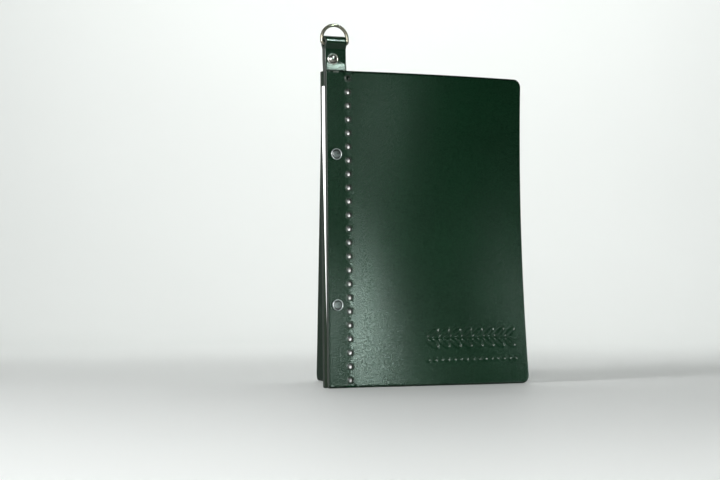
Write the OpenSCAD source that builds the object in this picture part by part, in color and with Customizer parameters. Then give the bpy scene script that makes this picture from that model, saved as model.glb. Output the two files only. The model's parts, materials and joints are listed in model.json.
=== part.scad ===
/* [Cover] */
// Height of both leather covers
cover_h = 225; // [200:1:310]
// Width of a cover, from the bound edge to the free edge
cover_w = 158; // [140:1:215]
// Thickness of the cover leather
leather_t = 3; // [2:0.5:4]
// Radius of the two corners at the free edge
corner_r = 6; // [2:1:12]

/* [Fold line] */
// Distance of the row of holes from the bound edge, which is also the fold line
fold_offset = 17; // [14:0.5:20]
// Number of round holes along the fold line
hole_count = 23; // [11:2:31]
// Diameter of one round hole
hole_d = 3.2; // [2:0.1:4]
// Distance of the first and the last hole from the cover's ends
hole_margin = 5.3; // [4:0.1:10]
// Angle at which the back cover stands open
back_open = 73; // [40:1:90]

/* [Menu sheets] */
// Height of a menu sheet
sheet_h = 210; // [190:1:297]
// Width of a menu sheet
sheet_w = 148; // [130:1:210]
// Thickness of a menu sheet
sheet_t = 0.5; // [0.3:0.1:0.6]
// Space under the sheets
sheet_lift = 4; // [2:0.5:8]

/* [Binding posts] */
// Distance of the posts from the bound edge
post_offset = 7.2; // [6:0.1:9]
// Height of the lower post
lower_post_z = 58.5; // [40:0.5:80]
// Height of the upper post
upper_post_z = 165.3; // [140:0.1:190]
// Outer diameter of the post barrel
barrel_d = 5; // [4:0.1:5.5]
// Diameter of the screw's shank
shank_d = 3.3; // [2.5:0.1:3.5]
// Diameter of the heads
head_d = 8.4; // [7:0.1:9.5]
// Thickness of the heads
head_t = 1.2; // [0.8:0.1:1.6]

/* [Hanging strap] */
// Width of the strap
strap_w = 16.4; // [12:0.1:16.8]
// Distance of the strap from the bound edge
strap_inset = 0.8; // [0:0.1:2]
// Width of the strap's long tail, which stays clear of the fold line
tail_w = 13.2; // [12:0.1:13.6]
// Thickness of the strap leather
strap_t = 2.6; // [2:0.1:3]
// Height of the ring's bar above the covers
bar_rise = 19.4; // [17:0.1:24]
// Height of the middle of the strap's loop above the ring's bar, which hangs low in it
loop_rise = 1.2; // [0:0.1:1.6]
// Height of the rivet above the covers
rivet_rise = 8.4; // [6:0.1:9]
// Distance of the rivet from the strap's middle line
rivet_aside = -2.2; // [-3:0.1:3]
// Length of the strap's short back tail between the covers
short_tail = 10.5; // [6:0.5:14]
// Space under the strap's long front tail, which runs down the bound edge
tail_lift = 3; // [1:0.5:30]
// Diameter of the rivet's caps
rivet_d = 8.2; // [6:0.1:9]

/* [Ring] */
// Diameter of the ring's wire
wire_d = 2.4; // [1.6:0.1:2.6]
// Width of the ring inside
ring_inner_w = 17.4; // [17.2:0.1:20]
// Straight length of the ring's sides
ring_side = 3.6; // [2.4:0.1:6]

/* [Hidden] */
$fn = 64;

// The origin is under the posts, at the lower edge of the front spine strip, in the middle of its leather.
// X runs from the bound edge to the free edge, and Y from the front cover to the back cover.
edge_x = -post_offset;
fold_x = edge_x + fold_offset;
free_x = edge_x + cover_w;
fold_gap = 0.1;
hole_pitch = (cover_h - 2 * hole_margin) / (hole_count - 1);

// The stack from front to back: leather, the strap's long tail, the sheets or the short tail, leather.
front_y = -leather_t / 2;
inside_y = leather_t / 2;
inside_t = 2 * strap_t;
back_inner_y = inside_y + inside_t;
back_y = back_inner_y + leather_t;

// Each sheet bends a little further from the strips than the one before it.
sheet_count = 4;
sheet_pitch = strap_t / sheet_count;
first_bend = 3;
bend_step = 0.6;
sheet_gap = 0.1;

clearance = 0.1;
thread_clearance = 0.05;
slot_w = 1.1;
slot_depth = 0.6;
head_bevel = 0.35;
barrel_l = back_y - front_y - 0.4;
bore_start = 1.5;
shank_l = 8;

strap_left = edge_x + strap_inset;
strap_x = strap_left + strap_w / 2;
strap_y = (inside_y + back_inner_y) / 2;
bar_z = cover_h + bar_rise;

// Half of the strap's outline seen from the side: round over the bar, then straight down.
loop_room = 0.9;
loop_r = wire_d / 2 + loop_room;
outer_r = loop_r + strap_t;
loop_point = 5.5;
loop_lean = acos(loop_r / loop_point);
loop_z = bar_z + loop_rise;
neck_z = -outer_r * cos(loop_lean) - (outer_r * sin(loop_lean) - strap_t) * tan(loop_lean);
short_tail_z = cover_h - short_tail - loop_z;
long_tail_z = tail_lift - loop_z;

// The rivet is a pin in a tube, each with a domed cap.
rivet_x = strap_x + rivet_aside;
rivet_z = cover_h + rivet_rise;
rivet_cap_t = 1.7;
rivet_pin_d = 2;
rivet_pin_l = 2 * strap_t - 0.6;
rivet_tube_d = 3;
rivet_tube_l = 2 * strap_t - 0.2;
rivet_floor = 0.5;

ring_corner_r = 2.2;

leather_green = [0.05, 0.16, 0.11];
inner_green = [0.09, 0.15, 0.10];
paper_white = [0.93, 0.92, 0.89];
post_steel = [0.55, 0.56, 0.57];
ring_metal = [0.48, 0.46, 0.42];

// One height of material between two levels, with the outline lying in X and Y.
module slab(x0, x1, y0, t, z0, z1) {
    translate([x0, y0, z0]) cube([x1 - x0, t, z1 - z0]);
}

// A round hole or shaft through the stack, along Y.
module along_y(x, z, d, y0, y1) {
    translate([x, y0, z]) rotate([-90, 0, 0]) cylinder(d = d, h = y1 - y0);
}

// The row of round holes along the fold line.
module fold_holes(y0) {
    for (i = [0 : hole_count - 1])
        along_y(fold_x, hole_margin + i * hole_pitch, hole_d, y0 - 1, y0 + leather_t + 1);
}

// The two holes for the binding posts.
module post_holes(y0, y1) {
    for (z = [lower_post_z, upper_post_z])
        along_y(0, z, barrel_d + 2 * clearance, y0, y1);
}

module spine_strip(y0) {
    difference() {
        slab(edge_x, fold_x - fold_gap, y0, leather_t, 0, cover_h);
        fold_holes(y0);
        post_holes(y0 - 1, y0 + leather_t + 1);
    }
}

// A cover's free part, lying flat, with two round corners at its free edge.
module panel(y0) {
    difference() {
        translate([0, y0 + leather_t, 0]) rotate([90, 0, 0]) linear_extrude(leather_t) {
            translate([fold_x, 0]) square([free_x - corner_r - fold_x, cover_h]);
            translate([fold_x, corner_r]) square([free_x - fold_x, cover_h - 2 * corner_r]);
            for (z = [corner_r, cover_h - corner_r])
                translate([free_x - corner_r, z]) circle(corner_r);
        }
        fold_holes(y0);
    }
}

function sheet_y(i) = strap_y + (i - 0.5) * sheet_pitch - sheet_t / 2;
function bend_x(i) = fold_x + first_bend + (i - 1) * bend_step;

module front_spine_strip() {
    color(leather_green) spine_strip(front_y);
}

module front_panel() {
    color(leather_green) panel(front_y);
}

module back_spine_strip() {
    color(leather_green) spine_strip(back_inner_y);
}

// The back cover folds about the outer face of its leather.
module back_panel() {
    color(inner_green)
        translate([fold_x, back_y, 0]) rotate([0, 0, back_open]) translate([-fold_x, -back_y, 0])
            panel(back_inner_y);
}

// The bound part of every sheet, punched for the posts.
module sheet_margins() {
    color(paper_white)
        for (i = [1 : sheet_count])
            difference() {
                slab(edge_x, bend_x(i) - sheet_gap, sheet_y(i), sheet_t, sheet_lift, sheet_lift + sheet_h);
                post_holes(sheet_y(i) - 1, sheet_y(i) + sheet_t + 1);
            }
}

// The free part of one sheet, which turns like a page.
module sheet(i) {
    color(paper_white)
        slab(bend_x(i), edge_x + sheet_w, sheet_y(i), sheet_t, sheet_lift, sheet_lift + sheet_h);
}

module head_profile() {
    polygon([[0, 0], [head_d / 2, 0], [head_d / 2, head_t - head_bevel],
             [head_d / 2 - head_bevel, head_t], [0, head_t]]);
}

// The barrel with its plain head on the front cover, and a bore that takes the screw.
module post(z) {
    color(post_steel) translate([0, front_y, z]) difference() {
        union() {
            rotate([90, 0, 0]) rotate_extrude() head_profile();
            rotate([-90, 0, 0]) cylinder(d = barrel_d, h = barrel_l);
        }
        translate([0, bore_start, 0]) rotate([-90, 0, 0])
            cylinder(d = shank_d + 2 * thread_clearance, h = barrel_l);
    }
}

// The slotted screw that closes the post from behind.
module screw(z) {
    color(post_steel) translate([0, back_y + thread_clearance, z]) {
        difference() {
            rotate([-90, 0, 0]) rotate_extrude() head_profile();
            translate([-head_d, head_t - slot_depth, -slot_w / 2]) cube([2 * head_d, head_t, slot_w]);
        }
        rotate([90, 0, 0]) cylinder(d = shank_d, h = shank_l);
    }
}

function loop_arc(r) = [for (k = [0 : 24])
    let (a = loop_lean - 90 + k * (360 - 2 * loop_lean) / 24) [r * cos(a), r * sin(a)]];

module strap_outline() {
    difference() {
        polygon(concat(loop_arc(outer_r), [[-strap_t, neck_z], [-strap_t, long_tail_z], [0, long_tail_z],
                                           [0, short_tail_z], [strap_t, short_tail_z], [strap_t, neck_z]]));
        polygon(concat(loop_arc(loop_r), [[0, -loop_point]]));
    }
}

// The strap goes over the ring's bar, and the posts hold its long tail behind the front strip.
module hang_strap() {
    color(leather_green) difference() {
        translate([strap_left, strap_y, loop_z]) rotate([90, 0, 90]) linear_extrude(strap_w) strap_outline();
        along_y(rivet_x, rivet_z, rivet_tube_d + 2 * clearance, strap_y - outer_r, strap_y + outer_r);
        post_holes(strap_y - outer_r, strap_y + outer_r);
        slab(strap_left + tail_w, strap_left + strap_w + 1, strap_y - outer_r, 2 * outer_r,
             0, cover_h - short_tail);
    }
}

// A shallow dome whose flat side lies on the strap.
module dome(d, t) {
    sphere_r = (d * d / 4 + t * t) / (2 * t);
    intersection() {
        translate([0, 0, t - sphere_r]) sphere(r = sphere_r, $fn = 96);
        cylinder(d = d + 1, h = t + 1);
    }
}

module rivet_cap() {
    color(post_steel) translate([rivet_x, strap_y - strap_t, rivet_z]) {
        rotate([90, 0, 0]) dome(rivet_d, rivet_cap_t);
        rotate([-90, 0, 0]) cylinder(d = rivet_pin_d, h = rivet_pin_l);
    }
}

module rivet_base() {
    color(post_steel) translate([rivet_x, strap_y + strap_t, rivet_z]) {
        rotate([-90, 0, 0]) dome(rivet_d, rivet_cap_t);
        rotate([90, 0, 0]) difference() {
            cylinder(d = rivet_tube_d, h = rivet_tube_l);
            translate([0, 0, rivet_floor])
                cylinder(d = rivet_pin_d + 2 * thread_clearance, h = rivet_tube_l);
        }
    }
}

// A quarter or half turn of the ring's wire around a point, starting at an angle.
module wire_bend(x, z, bend_r, from, turn) {
    translate([x, 0, z]) rotate([90, 0, 0]) rotate([0, 0, from])
        rotate_extrude(angle = turn) translate([bend_r, 0]) circle(wire_d / 2);
}

// A wire ring with a straight bar, two round corners, straight sides and a half-round top.
module d_ring() {
    half_w = (ring_inner_w + wire_d) / 2;
    bar_half = half_w - ring_corner_r;
    color(ring_metal) translate([strap_x, strap_y, bar_z]) {
        translate([-bar_half, 0, 0]) rotate([0, 90, 0]) cylinder(d = wire_d, h = 2 * bar_half);
        wire_bend(bar_half, ring_corner_r, ring_corner_r, -90, 90);
        wire_bend(-bar_half, ring_corner_r, ring_corner_r, 180, 90);
        for (side = [-1, 1])
            translate([side * half_w, 0, ring_corner_r]) cylinder(d = wire_d, h = ring_side - ring_corner_r);
        wire_bend(0, ring_side, half_w, 0, 180);
    }
}

front_spine_strip();
front_panel();
back_spine_strip();
back_panel();
sheet_margins();
sheet(1);  // sheet_1
sheet(2);  // sheet_2
sheet(3);  // sheet_3
sheet(4);  // sheet_4
post(upper_post_z);  // upper_post
post(lower_post_z);  // lower_post
screw(upper_post_z);  // upper_screw
screw(lower_post_z);  // lower_screw
hang_strap();
rivet_cap();
rivet_base();
d_ring();
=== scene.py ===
"""Looks of the screw-post menu holder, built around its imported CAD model.

Everything is in metres in the part's own frame: X from the bound edge to the free edge, Y from the
front cover to the back cover, Z up. The holder stands opened on Z = 0.
"""
import json
import math

import bpy
import numpy as np
from mathutils import Matrix, Vector


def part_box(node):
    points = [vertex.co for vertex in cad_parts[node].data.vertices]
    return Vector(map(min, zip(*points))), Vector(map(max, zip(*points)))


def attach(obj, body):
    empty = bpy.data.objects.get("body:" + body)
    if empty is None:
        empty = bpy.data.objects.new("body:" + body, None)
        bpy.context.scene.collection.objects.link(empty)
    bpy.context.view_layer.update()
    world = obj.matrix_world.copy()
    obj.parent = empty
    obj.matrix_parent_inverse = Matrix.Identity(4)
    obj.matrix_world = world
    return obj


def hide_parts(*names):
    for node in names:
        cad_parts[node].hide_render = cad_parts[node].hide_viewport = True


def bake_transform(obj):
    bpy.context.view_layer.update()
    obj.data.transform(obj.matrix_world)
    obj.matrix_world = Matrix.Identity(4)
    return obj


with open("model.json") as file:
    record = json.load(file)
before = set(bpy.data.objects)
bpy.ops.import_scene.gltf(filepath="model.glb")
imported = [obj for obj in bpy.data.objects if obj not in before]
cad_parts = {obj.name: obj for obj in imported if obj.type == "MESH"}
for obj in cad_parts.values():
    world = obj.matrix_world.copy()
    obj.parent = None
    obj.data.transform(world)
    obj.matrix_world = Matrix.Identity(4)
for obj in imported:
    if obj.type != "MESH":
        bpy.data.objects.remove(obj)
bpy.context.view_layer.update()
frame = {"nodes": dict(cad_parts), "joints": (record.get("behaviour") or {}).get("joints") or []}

# ---------------------------------------------------------------------------------------------
# Places that the CAD model gives

strip_low, strip_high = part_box("front_spine_strip")
panel_low, panel_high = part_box("front_panel")
back_low, back_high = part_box("back_spine_strip")
strap_low, strap_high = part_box("hang_strap")
ring_low, ring_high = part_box("d_ring")
joints = {j["name"]: j for j in frame["joints"]}

EDGE_X, FOLD_X, FREE_X = strip_low.x, panel_low.x, panel_high.x
COVER_H = strip_high.z
LEATHER_T = strip_high.y - strip_low.y
FRONT_MID_Y = (strip_low.y + strip_high.y) / 2
BACK_MID_Y = (back_low.y + back_high.y) / 2
LEAF_W = FREE_X - FOLD_X
BACK_OPEN = -math.radians(joints["back_cover_hinge"]["range_deg"][0])
BAR = Vector(joints["ring_swing"]["pos_m"])

# Details of the leather that the CAD boxes don't give
HOLE_COUNT = 23
HOLE_R = 0.0016
HOLE_MARGIN = 0.0053
HOLE_PITCH = (COVER_H - 2 * HOLE_MARGIN) / (HOLE_COUNT - 1)
CORNER_R = 0.006
EDGE_R = 0.00055
HOLE_EDGE_R = 0.00040
# Share of the dark cut-edge colour put on the outer face round each hole: painted shade of the hole's rim
HOLE_RIM_PAINTED_SHADE = 0.85


# ---------------------------------------------------------------------------------------------
# Small helpers for numbers and meshes

def smoothstep(t):
    t = np.clip(t, 0.0, 1.0)
    return t * t * (3 - 2 * t)


def make_piece(name, points, faces, material, attributes=None):
    """A smooth mesh object from points and faces, with point attributes for its material."""
    mesh = bpy.data.meshes.new(name)
    mesh.from_pydata([tuple(p) for p in points], [], faces)
    mesh.validate()
    for key, values in (attributes or {}).items():
        values = np.asarray(values, np.float32)
        kind = "FLOAT_VECTOR" if values.ndim == 2 else "FLOAT"
        layer = mesh.attributes.new(key, kind, "POINT")
        layer.data.foreach_set("vector" if values.ndim == 2 else "value", values.ravel())
    mesh.polygons.foreach_set("use_smooth", [True] * len(mesh.polygons))
    mesh.materials.append(material)
    piece = bpy.data.objects.new(name, mesh)
    bpy.context.scene.collection.objects.link(piece)
    return piece


def spaced(start, stop, step):
    """Even steps of about the given size from start to stop, both included."""
    count = max(1, round((stop - start) / step))
    return list(np.linspace(start, stop, count + 1))


def band(first, second, flip=False):
    """The faces between two closed loops of point numbers, turned over if flip is set."""
    faces = []
    for a in range(len(first)):
        b = (a + 1) % len(first)
        face = first[a], second[a], second[b], first[b]
        faces.append((face[0], face[3], face[2], face[1]) if flip else face)
    return faces


# ---------------------------------------------------------------------------------------------
# Materials

class Nodes:
    """A material's node tree, with short calls for the nodes that the materials here share."""

    def __init__(self, name):
        self.material = bpy.data.materials.new(name)
        self.material.use_nodes = True
        self.tree = self.material.node_tree
        self.shader = self.tree.nodes["Principled BSDF"]

    def node(self, kind, **values):
        made = self.tree.nodes.new(kind)
        for key, value in values.items():
            setattr(made, key, value)
        return made

    def link(self, source, target):
        self.tree.links.new(source, target)

    def feed(self, socket, value):
        if isinstance(value, bpy.types.NodeSocket):
            self.link(value, socket)
        else:
            socket.default_value = value

    def attribute(self, name, output="Fac"):
        return self.node("ShaderNodeAttribute", attribute_name=name).outputs[output]

    def place(self):
        """Where a point lies on the flat, unbent piece, in metres."""
        return self.attribute("flat_place", "Vector")

    def noise(self, where, scale, detail, roughness=0.5, stretch=None):
        if stretch:
            mapping = self.node("ShaderNodeMapping")
            self.link(where, mapping.inputs["Vector"])
            mapping.inputs["Scale"].default_value = stretch
            where = mapping.outputs["Vector"]
        made = self.node("ShaderNodeTexNoise")
        self.link(where, made.inputs["Vector"])
        made.inputs["Scale"].default_value = scale
        made.inputs["Detail"].default_value = detail
        made.inputs["Roughness"].default_value = roughness
        return made.outputs["Fac"]

    def cells(self, where, scale, smoothness=0.6):
        """Soft, rounded cells, dark in their middles."""
        made = self.node("ShaderNodeTexVoronoi", feature="SMOOTH_F1")
        self.link(where, made.inputs["Vector"])
        made.inputs["Scale"].default_value = scale
        made.inputs["Smoothness"].default_value = smoothness
        return made.outputs["Distance"]

    def math(self, operation, a, b):
        made = self.node("ShaderNodeMath", operation=operation)
        self.feed(made.inputs[0], a)
        self.feed(made.inputs[1], b)
        return made.outputs[0]

    def span(self, value, low, high, to_low=0.0, to_high=1.0):
        """value from low..high to to_low..to_high, held at the ends."""
        made = self.node("ShaderNodeMapRange")
        self.link(value, made.inputs["Value"])
        for key, number in (("From Min", low), ("From Max", high), ("To Min", to_low), ("To Max", to_high)):
            made.inputs[key].default_value = number
        return made.outputs["Result"]

    def mix(self, share, a, b):
        """Two colours mixed by share."""
        made = self.node("ShaderNodeMix", data_type="RGBA")
        self.feed(made.inputs[0], share)
        self.feed(made.inputs[6], a)
        self.feed(made.inputs[7], b)
        return made.outputs[2]

    def mix_value(self, share, a, b):
        made = self.node("ShaderNodeMix", data_type="FLOAT")
        self.feed(made.inputs[0], share)
        self.feed(made.inputs[2], a)
        self.feed(made.inputs[3], b)
        return made.outputs[0]

    def bump(self, height, strength, distance):
        made = self.node("ShaderNodeBump")
        self.link(height, made.inputs["Height"])
        made.inputs["Strength"].default_value = strength
        made.inputs["Distance"].default_value = distance
        return made.outputs["Normal"]

    def finish(self, **sockets):
        for key, value in sockets.items():
            self.feed(self.shader.inputs[key.replace("_", " ")], value)
        return self.material


BRIGHTEST = 0.9


def rgb(red, green, blue):
    return (red, green, blue, 1.0)


def shade(colour, factor):
    """A colour made darker or brighter by a factor."""
    return rgb(*[min(c * factor, BRIGHTEST) for c in colour])


# Texture scales are in features per metre, reliefs in metres
NOISE_RANGE = 0.3, 0.7
PEBBLES, PORES, CREASES, CLOUDS, SUEDE, CUT_FIBRES = 1250, 2600, 420, 26, 900, 700
PEBBLE_SHADE, PEBBLE_SHARE = 0.55, 0.35
SUEDE_SHADE = 0.62
CUT_COLOURS = (0.012, 0.018, 0.014), (0.034, 0.040, 0.034)
FIBRE_STRETCH = 1.0, 3.0, 0.25
CREASE_SHINE = 0.012
PORE_SHINE = -0.05, 0.07
PORE_RELIEF = 1.1
FLESH_ROUGHNESS, CUT_ROUGHNESS = 0.86, 0.42
LEATHER_RELIEF = 0.00011


def leather(name, deep, light, inner, roughness, gloss, grain):
    """Smooth, fine-pebbled leather with a burnished cut edge and a rougher flesh side; round the holes the
    cut-edge colour is painted shade.
    """
    n = Nodes(name)
    where = n.place()
    edge = n.attribute("cut_edge")
    inside = n.attribute("inner_face")
    pebbles = n.cells(where, PEBBLES)
    pores = n.noise(where, PORES, 2)
    creases = n.noise(where, CREASES, 4, 0.6)
    clouds = n.noise(where, CLOUDS, 3, 0.6)
    tint = n.mix(n.span(clouds, 0.32, 0.7), rgb(*deep), rgb(*light))
    tint = n.mix(n.span(pebbles, 0.25, 0.75, 0.0, PEBBLE_SHARE), tint, shade(deep, PEBBLE_SHADE))
    nap = n.span(n.noise(where, SUEDE, 4, 0.7), *NOISE_RANGE)
    suede = n.mix(nap, rgb(*inner), shade(inner, SUEDE_SHADE))
    fibres = n.noise(where, CUT_FIBRES, 3, 0.6, FIBRE_STRETCH)
    cut = n.mix(n.span(fibres, *NOISE_RANGE), *[rgb(*colour) for colour in CUT_COLOURS])
    colour = n.mix(edge, n.mix(inside, tint, suede), cut)
    shine = n.math("ADD", n.span(creases, *NOISE_RANGE, roughness - CREASE_SHINE, roughness + CREASE_SHINE),
                   n.span(pores, 0.35, 0.65, *PORE_SHINE))
    shine = n.mix_value(inside, shine, FLESH_ROUGHNESS)
    shine = n.mix_value(edge, shine, CUT_ROUGHNESS)
    height = n.math("ADD", n.math("MULTIPLY", pebbles, -1.0), n.math("MULTIPLY", pores, PORE_RELIEF))
    return n.finish(Base_Color=colour, Roughness=shine, Normal=n.bump(height, grain, LEATHER_RELIEF),
                    Specular_IOR_Level=gloss)


TARNISH_PATCHES, BRUSH_LINES = 900, 2400
# Turned heads get a painted highlight on their rims and painted shade in their grooves
RIM_PAINTED_GLINT = 3.0
GROOVE_PAINTED_SHADE = 0.3
METAL_BUMP, METAL_RELIEF = 0.25, 0.00003


def metal(name, colour, tarnish, roughness, streaks, own_places=True):
    """Metal brushed along streaks and duller in patches, with a painted highlight on rims and painted shade
    in grooves.
    """
    n = Nodes(name)
    where = n.place() if own_places else n.node("ShaderNodeTexCoord").outputs["Object"]
    patches = n.noise(where, TARNISH_PATCHES, 4, 0.65)
    brushing = n.noise(where, BRUSH_LINES, 2, 0.5, streaks)
    tint = n.mix(n.span(patches, 0.42, 0.72), rgb(*colour), rgb(*tarnish))
    # Painted highlight on the rims, painted shade in the grooves
    painted_glint_shade = n.attribute("painted_glint_shade")
    tint = n.mix(n.span(painted_glint_shade, 0.0, 1.0), tint, shade(colour, RIM_PAINTED_GLINT))
    tint = n.mix(n.span(painted_glint_shade, 0.0, -1.0), tint, shade(tarnish, GROOVE_PAINTED_SHADE))
    shine = n.math("ADD", n.span(brushing, *NOISE_RANGE, roughness - 0.06, roughness + 0.1),
                   n.span(patches, 0.45, 0.75, 0.0, 0.12))
    height = n.math("ADD", brushing, n.math("MULTIPLY", patches, 0.6))
    return n.finish(Base_Color=tint, Roughness=shine, Metallic=1.0,
                    Normal=n.bump(height, METAL_BUMP, METAL_RELIEF))


PAPER_FIBRES, PAPER_CLOUDS = 1500, 40
PAPER_WHITES = (0.93, 0.93, 0.92), (0.96, 0.96, 0.955)
PAPER_SPECK, SPECK_SHARE = (0.62, 0.60, 0.55), 0.07
PAPER_ROUGHNESS = 0.72, 0.9
PAPER_BUMP, PAPER_RELIEF = 0.25, 0.00004


def paper(name):
    """Uncoated card with a faint fibre."""
    n = Nodes(name)
    where = n.place()
    fibre = n.noise(where, PAPER_FIBRES, 5, 0.7)
    clouds = n.noise(where, PAPER_CLOUDS, 3, 0.6)
    tint = n.mix(n.span(clouds, *NOISE_RANGE), *[rgb(*white) for white in PAPER_WHITES])
    tint = n.mix(n.span(fibre, 0.35, 0.8, 0.0, SPECK_SHARE), tint, rgb(*PAPER_SPECK))
    return n.finish(Base_Color=tint, Roughness=n.span(fibre, *NOISE_RANGE, *PAPER_ROUGHNESS),
                    Normal=n.bump(fibre, PAPER_BUMP, PAPER_RELIEF))


INNER_GREEN = 0.018, 0.030, 0.019
COVER_GREENS = (0.0009, 0.0118, 0.0041), (0.0013, 0.0155, 0.0055)
STRAP_GREENS = (0.0008, 0.0088, 0.0034), (0.0011, 0.0116, 0.0044)
COVER_LEATHER = leather("cover_leather", *COVER_GREENS, INNER_GREEN,
                        roughness=0.26, gloss=0.33, grain=0.33)
BACK_LEATHER = leather("back_cover_leather", *COVER_GREENS, INNER_GREEN,
                       roughness=0.75, gloss=0.15, grain=0.35)
STRAP_LEATHER = leather("strap_leather", *STRAP_GREENS, INNER_GREEN,
                        roughness=0.20, gloss=0.40, grain=0.10)
CARD = paper("menu_card")
POST_TINTS = (0.145, 0.152, 0.156), (0.050, 0.050, 0.047)
RIVET_TINTS = (0.30, 0.295, 0.28), (0.14, 0.13, 0.115)
RING_TINTS = (0.27, 0.255, 0.20), (0.09, 0.08, 0.055)
NO_STREAKS, ALONG_Y, ALONG_Z = (1.0, 1.0, 1.0), (1.0, 6.0, 1.0), (1.0, 1.0, 6.0)
POST_METAL = metal("post_metal", *POST_TINTS, 0.36, ALONG_Z)
SCREW_METAL = metal("screw_metal", *POST_TINTS, 0.30, ALONG_Y, own_places=False)
RIVET_METAL = metal("rivet_metal", *RIVET_TINTS, 0.16, NO_STREAKS)
RING_METAL = metal("ring_metal", *RING_TINTS, 0.26, NO_STREAKS)


# ---------------------------------------------------------------------------------------------
# The pressed ornament: a plain sprig over a row of beads

ORNAMENT_X = (0.068, 0.141)
ORNAMENT_Z = (0.0135, 0.043)
SPRIG_Z = 0.0342
BEADS_Z = 0.0185
STROKE = 0.0008
SHOULDER = 0.0005
PRESS_DEPTH = 0.0007
LEAF_PAIRS = 8
LEAF_LEAN = math.radians(40)
LEAF_SIZE = 0.0098, 0.0037
LEAF_GAP = 0.0004
STEM_INSET = 0.0005, 0.009
BEADS = 15
BEAD_R = 0.0009
BEAD_INSET = 0.001


def oval_distance(x, z, centre_x, centre_z, angle, length, width):
    """Distance to the line of an oval whose long axis leans by angle."""
    dx, dz = x - centre_x, z - centre_z
    along = (dx * math.cos(angle) + dz * math.sin(angle)) / (length / 2)
    across = (-dx * math.sin(angle) + dz * math.cos(angle)) / (width / 2)
    reach = np.sqrt(along ** 2 + across ** 2) + 1e-9
    slope = np.sqrt((along / (length / 2)) ** 2 + (across / (width / 2)) ** 2) / reach
    return np.abs(reach - 1) / np.maximum(slope, 1e-6)


def ornament_depth(x, z):
    """How deep the ornament is pressed in at a point of the front cover."""
    left, right = ORNAMENT_X
    start, end = left + STEM_INSET[0], right - STEM_INSET[1]
    near = np.hypot(np.maximum(np.maximum(start - x, x - end), 0), z - SPRIG_Z)
    reach = LEAF_SIZE[0] / 2 + LEAF_GAP
    for k in range(LEAF_PAIRS):
        stem_x = start + (end - start) * k / (LEAF_PAIRS - 1)
        for lean in (LEAF_LEAN, -LEAF_LEAN):
            centre = stem_x + reach * math.cos(lean), SPRIG_Z + reach * math.sin(lean)
            near = np.minimum(near, oval_distance(x, z, *centre, lean, *LEAF_SIZE))
    for k in range(BEADS):
        bead_x = left + BEAD_INSET + (right - left - 2 * BEAD_INSET) * k / (BEADS - 1)
        near = np.minimum(near, np.maximum(np.hypot(x - bead_x, z - BEADS_Z) - BEAD_R, 0))
    return PRESS_DEPTH * smoothstep((STROKE / 2 + SHOULDER - near) / SHOULDER)


# ---------------------------------------------------------------------------------------------
# How the leather lies: each cover is bowed a little, dented at the posts and sunk along the fold

BULGE = 0.0034
FREE_BOW = 0.0036
FREE_BOW_FALL = 2.7
BOW_Z = 0.150
BACK_FOOT = 0.0060
HEAD_R = 0.0040
DENT_R = 0.0060
DENT_DEPTH = 0.0006
VALLEY_DEPTH = 0.0009
VALLEY_STRIP = 0.0178
VALLEY_LEAF = 0.0480
VALLEY_ROUND = 0.0012
SKIVE_TOP_Z = 0.130
SKIVE_LENGTH = 0.080
SKIVE = 1.35
POST_SPOTS = [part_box(node)[0] / 2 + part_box(node)[1] / 2 for node in ("upper_post", "lower_post")]


def leaf_share(x):
    """0 at the fold, 1 at the free edge."""
    return np.clip((x - FOLD_X) / LEAF_W, 0, 1)


def front_warp(x, z):
    """How far the front cover lies behind its flat CAD shape."""
    leaf = leaf_share(x)
    free_bow = FREE_BOW * (1 - FREE_BOW_FALL * ((z - BOW_Z) / BOW_Z) ** 2)
    return leaf ** 2 * free_bow - BULGE * 4 * leaf * (1 - leaf)


def back_warp(x, z):
    """The same for the back cover, in its closed place."""
    return leaf_share(x) ** 2 * BACK_FOOT * (1 - z / COVER_H)


def surface_press(x, z):
    """Depth pressed into the outer face round the posts and along the fold. The strip thins at its foot."""
    away = np.hypot(x - FOLD_X, VALLEY_ROUND) - VALLEY_ROUND
    on_strip = 1 - away / VALLEY_STRIP * (1 - SKIVE * smoothstep((SKIVE_TOP_Z - z) / SKIVE_LENGTH))
    on_leaf = np.clip(1 - away / VALLEY_LEAF, 0, 1) ** 2
    valley = VALLEY_DEPTH * np.where(x < FOLD_X, on_strip, on_leaf)
    dent = np.zeros(len(x))
    for spot in POST_SPOTS:
        reach = np.hypot(x - spot.x, z - spot.z)
        dent = np.maximum(dent, DENT_DEPTH * (1 - smoothstep((reach - HEAD_R) / (DENT_R - HEAD_R))))
    return np.maximum(valley, dent)


# ---------------------------------------------------------------------------------------------
# A leather cover: one plate with a row of round holes, round corners and rounded cut edges

def round_corner(x, z, corner_x, sign_z, corner_z, radius):
    """Moves points of a square corner onto a quarter disc of that radius."""
    u = (x - (corner_x - radius)) / radius
    v = sign_z * (z - (corner_z - sign_z * radius)) / radius
    inside = (u > 0) & (v > 0)
    new_x = corner_x - radius + radius * u * np.sqrt(np.maximum(1 - v * v / 2, 0))
    new_z = corner_z - sign_z * radius + sign_z * radius * v * np.sqrt(np.maximum(1 - u * u / 2, 0))
    return np.where(inside, new_x, x), np.where(inside, new_z, z)


HOLE_CELLS = 8
HOLE_RINGS = 0.62, 0.3, 0.0
STRIP_STEP, PLAIN_STEP = 0.0012, 0.0018
LEAF_STEP, PRESSED_STEP, FREE_EDGE_STEP = 0.0013, 0.0004, 0.0011
PRESSED_ROOM = 0.001


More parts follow.
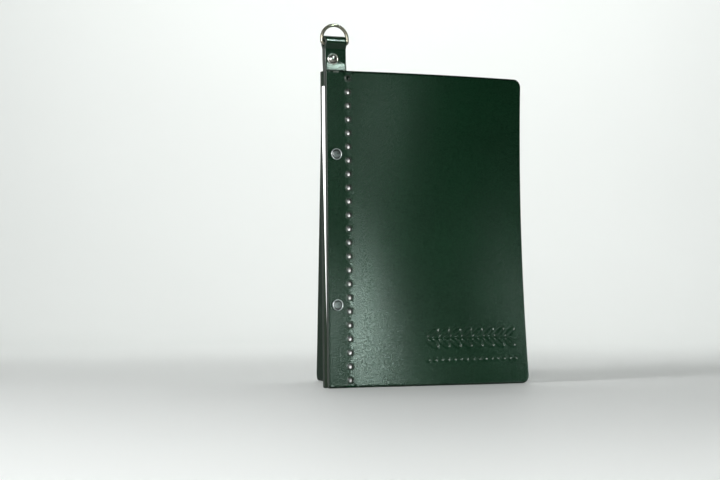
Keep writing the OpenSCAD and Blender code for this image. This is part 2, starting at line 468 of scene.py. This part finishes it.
def cover_outline(left_x, ornament):
    """Flat points (x, z), faces, the outer loop and the hole loops of one face of a cover."""
    half = HOLE_PITCH / 2
    block = list(np.linspace(FOLD_X - half, FOLD_X + half, HOLE_CELLS + 1))
    columns = spaced(left_x + EDGE_R, block[0], STRIP_STEP)[:-1] + block
    fine = ORNAMENT_X[0] - PRESSED_ROOM, ORNAMENT_X[1] + PRESSED_ROOM
    if ornament:
        columns += spaced(block[-1], fine[0], LEAF_STEP)[1:] + spaced(fine[0], fine[1], PRESSED_STEP)[1:]
        columns += spaced(fine[1], FREE_X - EDGE_R, FREE_EDGE_STEP)[1:]
    else:
        columns += spaced(block[-1], FREE_X - EDGE_R, PLAIN_STEP)[1:]
    rows = [EDGE_R]
    for k in range(HOLE_COUNT):
        low = HOLE_MARGIN + (k - 0.5) * HOLE_PITCH
        pressed = ornament and low + HOLE_PITCH > ORNAMENT_Z[0] and low < ORNAMENT_Z[1]
        steps = 3 * HOLE_CELLS if pressed else HOLE_CELLS
        rows += [low + HOLE_PITCH * i / steps for i in range(steps)]
    rows += [COVER_H - HOLE_MARGIN + half, COVER_H - EDGE_R]
    block_from, block_to = columns.index(block[0]), columns.index(block[-1])

    points, number, faces = [], {}, []

    def corner(i, j):
        if (i, j) not in number:
            number[i, j] = len(points)
            points.append((columns[i], rows[j]))
        return number[i, j]

    for j in range(len(rows) - 1):
        in_hole_row = 0 < j < len(rows) - 2
        for i in range(len(columns) - 1):
            if in_hole_row and block_from <= i < block_to:
                continue
            faces.append((corner(i, j), corner(i + 1, j), corner(i + 1, j + 1), corner(i, j + 1)))

    hole_loops = []
    for k in range(HOLE_COUNT):
        centre = HOLE_MARGIN + k * HOLE_PITCH
        inside = [j for j, z in enumerate(rows) if abs(z - centre) < half + 1e-7]
        low, high = inside[0], inside[-1]
        around = [(i, low) for i in range(block_from, block_to)]
        around += [(block_to, j) for j in range(low, high)]
        around += [(i, high) for i in range(block_to, block_from, -1)]
        around += [(block_from, j) for j in range(high, low, -1)]
        outer = [corner(i, j) for i, j in around]
        for share in HOLE_RINGS:
            ring = []
            for i, j in around:
                dx, dz = columns[i] - FOLD_X, rows[j] - centre
                reach = (HOLE_R + HOLE_EDGE_R) / math.hypot(dx, dz)
                scale = reach + (1 - reach) * share
                ring.append(len(points))
                points.append((FOLD_X + dx * scale, centre + dz * scale))
            faces += band(outer, ring, flip=True)
            outer = ring
        hole_loops.append(ring[::-1])

    last_i, last_j = len(columns) - 1, len(rows) - 1
    loop = [(i, 0) for i in range(last_i)] + [(last_i, j) for j in range(last_j)]
    loop += [(i, last_j) for i in range(last_i, 0, -1)] + [(0, j) for j in range(last_j, 0, -1)]
    outer_loop = [corner(i, j) for i, j in loop]
    flat = np.array(points)
    for sign, end in ((-1, EDGE_R), (1, COVER_H - EDGE_R)):
        x, z = round_corner(flat[:, 0], flat[:, 1], FREE_X - EDGE_R, sign, end, CORNER_R - EDGE_R)
        flat = np.stack([x, z], 1)
    return flat, faces, outer_loop, hole_loops


def loop_normals(loop_points):
    """Unit directions out of the leather along a closed loop with the leather on its left."""
    ahead = np.roll(loop_points, -1, 0) - np.roll(loop_points, 1, 0)
    out = np.stack([ahead[:, 1], -ahead[:, 0]], 1)
    return out / np.maximum(np.linalg.norm(out, axis=1, keepdims=True), 1e-12)


def leather_plate(name, material, left_x, outer_sign, place, ornament=False):
    """A whole cover. outer_sign is -1 where its outer face looks along -Y. place bends flat points."""
    flat, faces, outer_loop, hole_loops = cover_outline(left_x, ornament)
    count = len(flat)
    half = LEATHER_T / 2
    press = surface_press(flat[:, 0], flat[:, 1])
    if ornament:
        press = press + ornament_depth(flat[:, 0], flat[:, 1])
    points = [np.stack([flat[:, 0], -half + press, flat[:, 1]], 1),
              np.stack([flat[:, 0], np.full(count, half), flat[:, 1]], 1)]
    cut_edge = [np.zeros(count), np.zeros(count)]
    # The outer face round each hole takes the dark cut-edge colour as painted shade
    for hole in hole_loops:
        cut_edge[0][hole] = HOLE_RIM_PAINTED_SHADE
    all_faces = list(faces) + [tuple(reversed([v + count for v in f])) for f in faces]
    total = 2 * count
    for loop, radius in [(outer_loop, EDGE_R)] + [(h, HOLE_EDGE_R) for h in hole_loops]:
        line = flat[loop]
        out = loop_normals(line)
        turns = [math.radians(a) for a in (30, 60, 90)]
        rings = [(radius * math.sin(a), -half + radius * (1 - math.cos(a)), min(1, a)) for a in turns]
        rings += [(o, -y, w) for o, y, w in reversed(rings)]
        before = list(loop)
        for outset, y, weight in rings:
            ring = line + out * outset
            points.append(np.stack([ring[:, 0], np.full(len(ring), y), ring[:, 1]], 1))
            cut_edge.append(np.full(len(ring), weight))
            here = list(range(total, total + len(ring)))
            total += len(ring)
            all_faces += band(before, here)
            before = here
        all_faces += band(before, [v + count for v in loop])
    points = np.concatenate(points)
    inner = (points[:, 1] > half - 1e-6).astype(float)
    if outer_sign > 0:
        points[:, 1] *= -1
        all_faces = [tuple(reversed(f)) for f in all_faces]
    attributes = {"flat_place": points.copy(), "cut_edge": np.concatenate(cut_edge), "inner_face": inner}
    return make_piece(name, place(points), all_faces, material, attributes)


def place_front(points):
    """Bows the flat front cover where it stands, closed on the sheets."""
    x, y, z = points.T
    return np.stack([x, FRONT_MID_Y + y + front_warp(x, z), z], 1)


BEND_R = 0.0030
BEND_TANGENT = BEND_R * math.tan(BACK_OPEN / 2)
BEND_CORNER_X = FOLD_X + LEATHER_T / 2 * math.tan(BACK_OPEN / 2)
BEND_ARC = BEND_R * BACK_OPEN


def place_back(points):
    """Bends the flat back cover round its fold to where the CAD panel stands."""
    x, y, z = points.T
    y = y + back_warp(x, z)
    run = x - FOLD_X + BEND_ARC / 2
    turned = np.clip(run / BEND_R, 0, BACK_OPEN)
    start_x = BEND_CORNER_X - BEND_TANGENT
    mid_x = start_x + np.minimum(run, 0) + BEND_R * np.sin(turned)
    mid_y = BACK_MID_Y + BEND_R * (1 - np.cos(turned))
    beyond = np.maximum(run - BEND_ARC, 0)
    mid_x = mid_x + beyond * math.cos(BACK_OPEN)
    mid_y = mid_y + beyond * math.sin(BACK_OPEN)
    return np.stack([mid_x - y * np.sin(turned), mid_y + y * np.cos(turned), z], 1)


def build_covers():
    """Front and back cover, each one plate that bends at its row of holes."""
    front = leather_plate("front_cover_leather", COVER_LEATHER, EDGE_X, -1, place_front, ornament=True)
    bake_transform(front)
    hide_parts("front_spine_strip", "front_panel")
    back_edge = FOLD_X - (BEND_ARC / 2 + BEND_CORNER_X - BEND_TANGENT - EDGE_X)
    back = leather_plate("back_cover_leather", BACK_LEATHER, back_edge, 1, place_back)
    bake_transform(back)
    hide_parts("back_spine_strip", "back_panel")


# ---------------------------------------------------------------------------------------------
# Menu sheets

SHEETS = 4
FRONT_ROOM = 0.0022
RECESS = 0.0028
RECESS_TOP_Z = 0.175
CARD_RIM = 0.00008
SHEET_BEND, SHEET_BLEND = 0.003, 0.0025
MARGIN_STEP, BEND_STEP, SHEET_STEPS = 0.004, 0.0006, (0.005, 0.007)
LIFT_RISE = 6


def build_sheets():
    """The menu sheets: bound at the posts, bending beside the strips, following the covers' bow."""
    for k in range(1, SHEETS + 1):
        low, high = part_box(f"sheet_{k}")
        share = k / SHEETS
        bend = low.x - SHEET_BEND, low.x + SHEET_BEND
        xs = spaced(EDGE_X, bend[0], MARGIN_STEP)[:-1] + spaced(*bend, BEND_STEP)
        xs += spaced(bend[1], high.x, SHEET_STEPS[0])[1:]
        zs = spaced(low.z, high.z, SHEET_STEPS[1])
        grid_x, grid_z = np.meshgrid(xs, zs, indexing="ij")
        x, z = grid_x.ravel(), grid_z.ravel()
        leaf = np.clip((x - low.x) / (high.x - low.x), 0, 1)
        behind_front = np.maximum(front_warp(x, z) - FRONT_ROOM, 0)
        lift = ((1 - share) * behind_front + share * back_warp(x, z)) * smoothstep(leaf * LIFT_RISE)
        count = len(x)
        margin = smoothstep((POST_SPOTS[0].x - HEAD_R - x) / (POST_SPOTS[0].x - HEAD_R - EDGE_X))
        x = x + RECESS * np.clip(1 - z / RECESS_TOP_Z, 0, 1) * margin
        flat = [np.stack([x, np.full(count, y), z], 1) for y in (low.y, high.y)]
        points = np.concatenate(flat)
        faces, rows = [], len(zs)
        for i in range(len(xs) - 1):
            for j in range(rows - 1):
                a = i * rows + j
                quad = (a, a + rows, a + rows + 1, a + 1)
                faces += [quad, tuple(reversed([v + count for v in quad]))]
        loop = [i * rows for i in range(len(xs) - 1)]
        loop += [(len(xs) - 1) * rows + j for j in range(rows - 1)]
        loop += [i * rows + rows - 1 for i in range(len(xs) - 1, 0, -1)]
        loop += [j for j in range(rows - 1, 0, -1)]
        rim = points[loop] + np.array([0, (high.y - low.y) / 2, 0])
        out = loop_normals(points[loop][:, [0, 2]])
        rim[:, [0, 2]] += out * CARD_RIM
        points = np.concatenate([points, rim])
        middle = list(range(2 * count, len(points)))
        faces += band(loop, middle) + band(middle, [v + count for v in loop])
        lift = np.concatenate([lift, lift, lift[loop]])
        placed = points + np.stack([0 * lift, lift, 0 * lift], 1)
        piece = make_piece(f"menu_sheet_{k}", placed, faces, CARD, {"flat_place": points})
        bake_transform(piece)
        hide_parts(f"sheet_{k}", "sheet_margins")


# ---------------------------------------------------------------------------------------------
# Metal fittings, turned and drawn

def lathe(name, profile, origin, axis, material, segments=96):
    """A turned piece: profile is (radius, height, painted light: 1 rim highlight, -1 groove shade) from the
    tip of the axis down, around origin.
    """
    axis = Vector(axis).normalized()
    side = axis.orthogonal().normalized()
    other = axis.cross(side)
    points, faces, painted_glint_shade = [], [], []
    for radius, height, level in profile:
        painted_glint_shade += [level] * segments
        for s in range(segments):
            a = 2 * math.pi * s / segments
            out = side * math.cos(a) + other * math.sin(a)
            points.append(Vector(origin) + axis * height + out * radius)
    rings = [range(r * segments, (r + 1) * segments) for r in range(len(profile))]
    for here, below in zip(rings, rings[1:]):
        faces += band(below, here, flip=True)
    points += [Vector(origin) + axis * profile[0][1], Vector(origin) + axis * profile[-1][1]]
    last = rings[-1]
    for s in range(segments):
        t = (s + 1) % segments
        faces.append((len(points) - 2, s, t))
        faces.append((len(points) - 1, last[t], last[s]))
    local = [tuple(p - Vector(origin)) for p in points]
    painted_glint_shade += [profile[0][2], profile[-1][2]]
    return make_piece(name, points, faces, material, {"flat_place": np.array(local), "painted_glint_shade": painted_glint_shade})


MM = 0.001
SINK_SHARE = 0.35
# Turned profiles are pairs of radius and height over the leather, in mm, from the tip inwards
POST_PROFILE = [(0.12, 0.98), (0.3, 0.99), (0.48, 0.9), (0.7, 0.87), (1.8, 0.9), (2.75, 0.86), (2.92, 0.6),
                (3.08, 0.48), (3.24, 0.6), (3.4, 0.98), (3.56, 1.14), (3.78, 1.18), (3.98, 1.06),
                (4.14, 0.76), (4.2, 0.2), (4.12, 0.04), (3.9, 0.0), (2.6, 0.0), (2.5, -0.1),
                (2.5, -10.6), (2.35, -10.75)]
POST_GROOVE, POST_RIM = (2.9, 3.3), (3.35, 4.0)
DOME_R, DOME_BASE, DOME_RISE = 2.95, 0.3, 1.4
RIVET_RIM_PROFILE = [(3.02, 0.12), (3.14, 0.14), (3.26, 0.5), (3.42, 0.74), (3.62, 0.82), (3.84, 0.72),
                     (4.02, 0.46), (4.1, 0.2), (4.0, 0.03), (3.7, 0.0), (1.6, 0.0), (1.5, -0.1),
                     (1.5, -2.4)]
RIVET_GROOVE, RIVET_RIM = (2.9, 3.2), (3.4, 3.9)


def painted_glint_shade_at(radius, groove, rim):
    """Painted light by radius in mm: 1 paints a highlight on the rim of a turned head, -1 paints shade in
    its groove, 0 elsewhere.
    """
    return 1.0 if rim[0] <= radius <= rim[1] else -1.0 if groove[0] <= radius <= groove[1] else 0.0


def build_posts():
    """Binding posts: a head with a rolled rim, a groove and a small centre mark, on a barrel."""
    for node in ("upper_post", "lower_post"):
        low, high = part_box(node)
        middle = ((low.x + high.x) / 2, strip_low.y, (low.z + high.z) / 2)
        sink = SINK_SHARE * float(surface_press(np.array([middle[0]]), np.array([middle[2]]))[0])
        # The head's rim gets a painted highlight and its groove painted shade
        profile = [(r * MM, h * MM - (sink if h > -1 else 0), painted_glint_shade_at(r, POST_GROOVE, POST_RIM))
                   for r, h in POST_PROFILE]
        piece = lathe(f"{node}_turned", profile, middle, (0, -1, 0), POST_METAL)
        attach(piece, "binding")
        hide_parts(node)


def build_rivet():
    """Both caps of the rivet: a polished dome with a rolled rim."""
    turns = [math.radians(a) for a in range(4, 96, 8)]
    dome = [(DOME_R * math.sin(a), DOME_BASE + DOME_RISE * math.cos(a)) for a in turns]
    for node, axis in (("rivet_cap", (0, -1, 0)), ("rivet_base", (0, 1, 0))):
        low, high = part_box(node)
        middle = ((low.x + high.x) / 2, strap_face(node), (low.z + high.z) / 2)
        # The rim gets a painted highlight and the groove painted shade
        profile = [(r * MM, h * MM, painted_glint_shade_at(r, RIVET_GROOVE, RIVET_RIM)) for r, h in dome + RIVET_RIM_PROFILE]
        piece = lathe(f"{node}_turned", profile, middle, axis, RIVET_METAL)
        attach(piece, "binding")
        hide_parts(node)


STRAP_T = 0.0026
STRAP_SET_BACK = 0.0009
TAIL_W = 0.0132
SHORT_TAIL = 0.0105
SHOULDER_H = 0.0015
ROOT_FLARE = 0.0018
LOOP_RISE = 0.0012
LOOP_INNER_R = 0.0021
LOOP_POINT = 0.0038
STRAP_EDGE_R = 0.0007
STRAP_STEP, STRAP_PASSES = 0.0004, 10
LEAN_TOP = 0.002
FACE_STEPS = 12


def strap_face(node):
    """The strap's front or back face, where a rivet cap sits."""
    return BAR.y + STRAP_SET_BACK + (-STRAP_T if node == "rivet_cap" else STRAP_T)


def sweep(name, path, sides, section, material, extra=None):
    """Moves a closed section (a, b) along a path: a runs along each point's side, b along its normal."""
    size, faces, points = len(section), [], []
    count = len(path)
    for k in range(count):
        before, after = path[max(k - 1, 0)], path[min(k + 1, count - 1)]
        ahead = (after - before).normalized()
        normal = sides[k].cross(ahead).normalized()
        points += [path[k] + sides[k] * a + normal * b for a, b in section]
    loops = [range(k * size, (k + 1) * size) for k in range(count)]
    for here, there in zip(loops, loops[1:]):
        faces += band(here, there, flip=True)
    faces.append(tuple(loops[0])[::-1])
    faces.append(tuple(loops[-1]))
    lengths = np.cumsum([0] + [(path[k + 1] - path[k]).length for k in range(count - 1)])
    flat = [(a, b, lengths[k]) for k in range(count) for a, b in section]
    attributes = {"flat_place": np.array(flat)}
    for key, values in (extra or {}).items():
        attributes[key] = np.tile(values, count)
    return make_piece(name, points, faces, material, attributes)


def smooth_path(points, step, passes):
    """Points at even steps along a line, with its corners softened."""
    line = np.array([tuple(p) for p in points])
    reach = np.concatenate([[0], np.cumsum(np.linalg.norm(np.diff(line, axis=0), axis=1))])
    at = np.linspace(0, reach[-1], max(2, round(reach[-1] / step)) + 1)
    even = np.stack([np.interp(at, reach, line[:, i]) for i in range(line.shape[1])], 1)
    for _ in range(passes):
        even[1:-1] = (even[:-2] + 2 * even[1:-1] + even[2:]) / 4
    return even


def strap_line():
    """The strap from the side: up the long tail, back to the rivet, round the loop, down the short tail."""
    rivet_z = (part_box("rivet_cap")[0].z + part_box("rivet_cap")[1].z) / 2
    loop_z, half = BAR.z + LOOP_RISE, STRAP_T / 2
    mid_r, lean = LOOP_INNER_R + half, math.acos(LOOP_INNER_R / LOOP_POINT)
    arc = [(STRAP_SET_BACK - mid_r * math.cos(a), loop_z + mid_r * math.sin(a))
           for a in np.linspace(lean - math.pi / 2, 1.5 * math.pi - lean, 25)]
    neck = loop_z - mid_r * math.cos(lean) - (mid_r * math.sin(lean) - half) * math.tan(lean)
    rise = [(0, COVER_H - SHORT_TAIL), (0, COVER_H),
            (STRAP_SET_BACK, rivet_z - LEAN_TOP), (STRAP_SET_BACK, neck)]
    front = [(-half, strap_low.z)] + [(y - half, z) for y, z in rise]
    back = [(y + half, z) for y, z in reversed(rise)]
    return smooth_path(front + arc + back, STRAP_STEP, STRAP_PASSES)


def build_strap():
    """The doubled strap, with rounded cut edges and a narrower long tail."""
    whole_w, half_t, r = strap_high.x - strap_low.x, STRAP_T / 2, STRAP_EDGE_R
    path, sides = [], []
    for y, z in strap_line():
        widening = float(smoothstep((z - COVER_H + SHORT_TAIL + SHOULDER_H) / SHOULDER_H))
        flare = ROOT_FLARE * (1 - float(smoothstep((z - COVER_H + SHOULDER_H) / SHOULDER_H)))
        width = TAIL_W + (whole_w + flare - TAIL_W) * widening
        path.append(Vector((strap_low.x + width / 2, BAR.y + y, z)))
        sides.append(Vector((width / whole_w, 0, 0)))
    corners, edge = [], []
    for sx, sy, first in ((1, 1, 0), (-1, 1, 90), (-1, -1, 180), (1, -1, 270)):
        for degrees in range(first, first + 91, 18):
            turn = math.radians(degrees)
            corners.append((sx * (whole_w / 2 - r) + r * math.cos(turn),
                            sy * (half_t - r) + r * math.sin(turn)))
            edge.append(abs(math.cos(turn)) ** 2)
    section, cut_edge = [], []
    for k, (a, b) in enumerate(corners):
        next_a = corners[(k + 1) % len(corners)][0]
        steps = FACE_STEPS if abs(next_a - a) > whole_w / 2 else 1
        section += [(a + (next_a - a) * i / steps, b) for i in range(steps)]
        cut_edge += [edge[k]] + [0.0] * (steps - 1)
    piece = sweep("hang_strap_leather", path, sides, section, STRAP_LEATHER,
                  {"cut_edge": cut_edge, "inner_face": [0.0] * len(section)})
    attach(piece, "binding")
    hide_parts("hang_strap")


RING_CORNER_R = 0.0022
RING_GAP = 0.0004
RING_STEP, RING_PASSES = 0.00045, 3


def build_ring():
    """The ring's drawn wire, bent round its corners, with its joint inside the strap."""
    wire_r = (ring_high.y - ring_low.y) / 2
    half_w = (ring_high.x - ring_low.x) / 2 - wire_r
    side_z = ring_high.z - wire_r - half_w
    middle_x = (ring_low.x + ring_high.x) / 2
    corner = [(half_w - RING_CORNER_R * (1 - math.sin(a)), BAR.z + RING_CORNER_R * (1 - math.cos(a)))
              for a in np.linspace(0, math.pi / 2, 13)]
    top = [(half_w * math.cos(a), side_z + half_w * math.sin(a)) for a in np.linspace(0, math.pi, 61)]
    far_corner = [(-x, z) for x, z in reversed(corner)]
    line = [(RING_GAP / 2, BAR.z)] + corner + top + far_corner + [(-RING_GAP / 2, BAR.z)]
    path = [Vector((middle_x + x, BAR.y, z)) for x, z in smooth_path(line, RING_STEP, RING_PASSES)]
    sides = [Vector((0, 1, 0))] * len(path)
    section = [(wire_r * math.cos(a), wire_r * math.sin(a)) for a in np.linspace(0, 2 * math.pi, 25)[:-1]]
    piece = sweep("d_ring_wire", path, sides, section, RING_METAL)
    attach(piece, "ring")
    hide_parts("d_ring")


def dress_screws():
    """The slotted screws keep their CAD shape."""
    for node in ("upper_screw", "lower_screw"):
        screw = frame["nodes"][node]
        screw.data.materials.clear()
        screw.data.materials.append(SCREW_METAL)


# ---------------------------------------------------------------------------------------------
# Camera, light and floor

CAMERA_AZIMUTH = math.radians(-24.3)
CAMERA_DISTANCE = 1.232
CAMERA_ASIDE = -0.0227
CAMERA_HEIGHT = 0.0542
CAMERA_TILT = math.radians(2.32)
CAMERA_ROLL = math.radians(0.57)
CAMERA_LENS = 87.5
CAMERA_SENSOR = 36
CAMERA_CLIP = 0.05


def build_camera():
    """Looks at the bound edge from the front left, as far aside as the framing needs."""
    ahead = Vector((-math.sin(CAMERA_AZIMUTH), math.cos(CAMERA_AZIMUTH), 0))
    right = Vector((math.cos(CAMERA_AZIMUTH), math.sin(CAMERA_AZIMUTH), 0))
    bound_edge = Vector((EDGE_X, strip_low.y, 0))
    place = bound_edge - ahead * CAMERA_DISTANCE - right * CAMERA_ASIDE
    place.z = CAMERA_HEIGHT
    view = ahead * math.cos(CAMERA_TILT) + Vector((0, 0, math.sin(CAMERA_TILT)))
    up = right.cross(view)
    turned_right = right * math.cos(CAMERA_ROLL) - up * math.sin(CAMERA_ROLL)
    turned_up = up * math.cos(CAMERA_ROLL) + right * math.sin(CAMERA_ROLL)
    data = bpy.data.cameras.new("camera")
    data.lens = CAMERA_LENS
    data.sensor_width = CAMERA_SENSOR
    data.clip_start = CAMERA_CLIP
    camera = bpy.data.objects.new("camera", data)
    bpy.context.scene.collection.objects.link(camera)
    axes = Matrix((turned_right, turned_up, -view)).transposed()
    camera.matrix_world = Matrix.Translation(place) @ axes.to_4x4()
    bpy.context.scene.camera = camera


AIM = 0.05, 0.02, COVER_H / 2
STRAP_AIM = BAR.x, BAR.y, COVER_H + 0.022
STRAP_LAMP_BEARING, STRAP_LAMP_DISTANCE = 27, 0.9
STRAP_LAMP_CONE, STRAP_LAMP_BLEND = math.radians(3.2), 0.15
FOOT, FREE_FOOT, WALL_MIDDLE = (0.05, 0.02, 0.04), (0.12, 0.0, 0.06), (1.25, 2.25, 0.4)
SHEEN_DISTANCE, SHEEN_SPREAD = 0.6, 50
NEUTRAL, KEY_TINT = (1, 1, 1), (0.985, 1.0, 0.985)
WALL_TINT = 0.985, 1.0, 0.98
SHEEN_TINT = 0.77, 1.0, 0.90
WORLD_TINT, WORLD_STRENGTH = (0.93, 0.95, 1.0), 0.02


def place_lamp(name, kind, around, bearing, distance, height, power, tint, aim):
    """A lamp at a bearing from the front cover's straight-on view, round a point, turned to its aim."""
    angle = math.radians(bearing)
    place = Vector((around[0] + math.sin(angle) * distance, around[1] - math.cos(angle) * distance, height))
    data = bpy.data.lights.new(name, kind)
    data.energy = power
    data.color = tint
    lamp = bpy.data.objects.new(name, data)
    bpy.context.scene.collection.objects.link(lamp)
    lamp.location = place
    lamp.rotation_mode = "QUATERNION"
    lamp.rotation_quaternion = (Vector(aim) - place).to_track_quat("-Z", "Y")
    return lamp


def softbox(name, bearing, distance, height, size, power, tint=NEUTRAL, aim=AIM, spread=180):
    """A rectangular lamp around the holder, aimed at its middle or at a point."""
    lamp = place_lamp(name, "AREA", AIM, bearing, distance, height, power, tint, aim)
    lamp.data.shape = "RECTANGLE"
    lamp.data.size, lamp.data.size_y = size
    lamp.data.spread = math.radians(spread)
    return lamp


def strap_lamp(name, height, radius, power):
    """A round lamp that lights only a small circle around the strap."""
    lamp = place_lamp(name, "SPOT", STRAP_AIM, STRAP_LAMP_BEARING, STRAP_LAMP_DISTANCE, height, power,
                      SHEEN_TINT, STRAP_AIM)
    lamp.data.shadow_soft_size = radius
    lamp.data.spot_size = STRAP_LAMP_CONE
    lamp.data.spot_blend = STRAP_LAMP_BLEND
    return lamp


def light_only(lamp, *names):
    """Lets a lamp light the named pieces and nothing else."""
    lit = bpy.data.collections.new(f"{lamp.name}_lit")
    for name in names:
        lit.objects.link(bpy.data.objects[name])
    lamp.light_linking.receiver_collection = lit


def build_light():
    """A soft key and fill, a lit backdrop, and small lamps for the sheen on the leather."""
    softbox("key", bearing=-27, distance=2.2, height=0.50, size=(0.40, 0.40), power=46, tint=KEY_TINT)
    softbox("fill", bearing=-75, distance=1.3, height=0.55, size=(0.45, 0.45), power=12)
    sheens = [
        softbox("foot_sheen", bearing=5, distance=SHEEN_DISTANCE, height=0.030, size=(0.05, 0.06),
                power=0.088, tint=SHEEN_TINT, aim=FOOT, spread=SHEEN_SPREAD),
        softbox("upper_sheen", bearing=13, distance=SHEEN_DISTANCE, height=0.26, size=(0.16, 0.07),
                power=0.175, tint=SHEEN_TINT),
        softbox("free_edge_sheen", bearing=50, distance=SHEEN_DISTANCE, height=0.045, size=(0.07, 0.07),
                power=0.030, tint=SHEEN_TINT, aim=FREE_FOOT, spread=SHEEN_SPREAD),
    ]
    for lamp in sheens:
        light_only(lamp, "front_cover_leather", "upper_post_turned", "lower_post_turned")
    for lamp in (strap_lamp("strap_sheen_low", height=0.64, radius=0.07, power=46),
                 strap_lamp("strap_sheen_high", height=0.95, radius=0.09, power=230)):
        light_only(lamp, "hang_strap_leather", "rivet_cap_turned", "d_ring_wire")
    sheet_light = softbox("sheet_light", bearing=-26, distance=2.0, height=0.45, size=(0.3, 0.3), power=14)
    light_only(sheet_light, *[f"menu_sheet_{k}" for k in range(1, SHEETS + 1)])
    softbox("backdrop", bearing=150, distance=1.0, height=1.7, size=(1.8, 0.6), power=26.5,
            tint=WALL_TINT, aim=WALL_MIDDLE)
    world = bpy.data.worlds.new("studio")
    world.use_nodes = True
    world.node_tree.nodes["Background"].inputs["Color"].default_value = rgb(*WORLD_TINT)
    world.node_tree.nodes["Background"].inputs["Strength"].default_value = WORLD_STRENGTH
    bpy.context.scene.world = world
    bpy.context.scene.view_settings.view_transform = "Standard"


FLOOR_GREYS = (0.83, 0.85, 0.84), (0.86, 0.88, 0.87)
FLOOR_CLOUDS, FLOOR_ROUGHNESS = 3.0, 0.55
FLOOR_NEAR, FLOOR_FAR, FLOOR_SIDE = -3.0, 1.6, 4.0
SWEEP_R, WALL_TOP = 0.9, 4.0
FLOOR_DROP = 0.0002


def build_floor():
    """A pale floor that sweeps up into a backdrop far behind the holder."""
    n = Nodes("pale_floor")
    where = n.node("ShaderNodeTexCoord").outputs["Object"]
    cloud = n.noise(where, FLOOR_CLOUDS, 2)
    tone = n.mix(cloud, *[rgb(*grey) for grey in FLOOR_GREYS])
    material = n.finish(Base_Color=tone, Roughness=FLOOR_ROUGHNESS)
    profile = [(FLOOR_NEAR, 0.0), (FLOOR_FAR, 0.0)]
    profile += [(FLOOR_FAR + SWEEP_R * math.sin(a), SWEEP_R - SWEEP_R * math.cos(a))
                for a in np.linspace(0.05, math.pi / 2, 24)]
    profile += [(FLOOR_FAR + SWEEP_R, WALL_TOP)]
    ahead = Vector((-math.sin(CAMERA_AZIMUTH), math.cos(CAMERA_AZIMUTH), 0))
    right = Vector((math.cos(CAMERA_AZIMUTH), math.sin(CAMERA_AZIMUTH), 0))
    points, faces = [], []
    for reach, height in profile:
        for side in (-FLOOR_SIDE, FLOOR_SIDE):
            points.append(ahead * reach + right * side + Vector((0, 0, height - FLOOR_DROP)))
    for k in range(len(profile) - 1):
        faces.append((2 * k, 2 * k + 1, 2 * k + 3, 2 * k + 2))
    floor = make_piece("floor", points, faces, material)


build_camera()
build_covers()
build_sheets()
build_posts()
dress_screws()
build_strap()
build_rivet()
build_ring()
build_light()
build_floor()
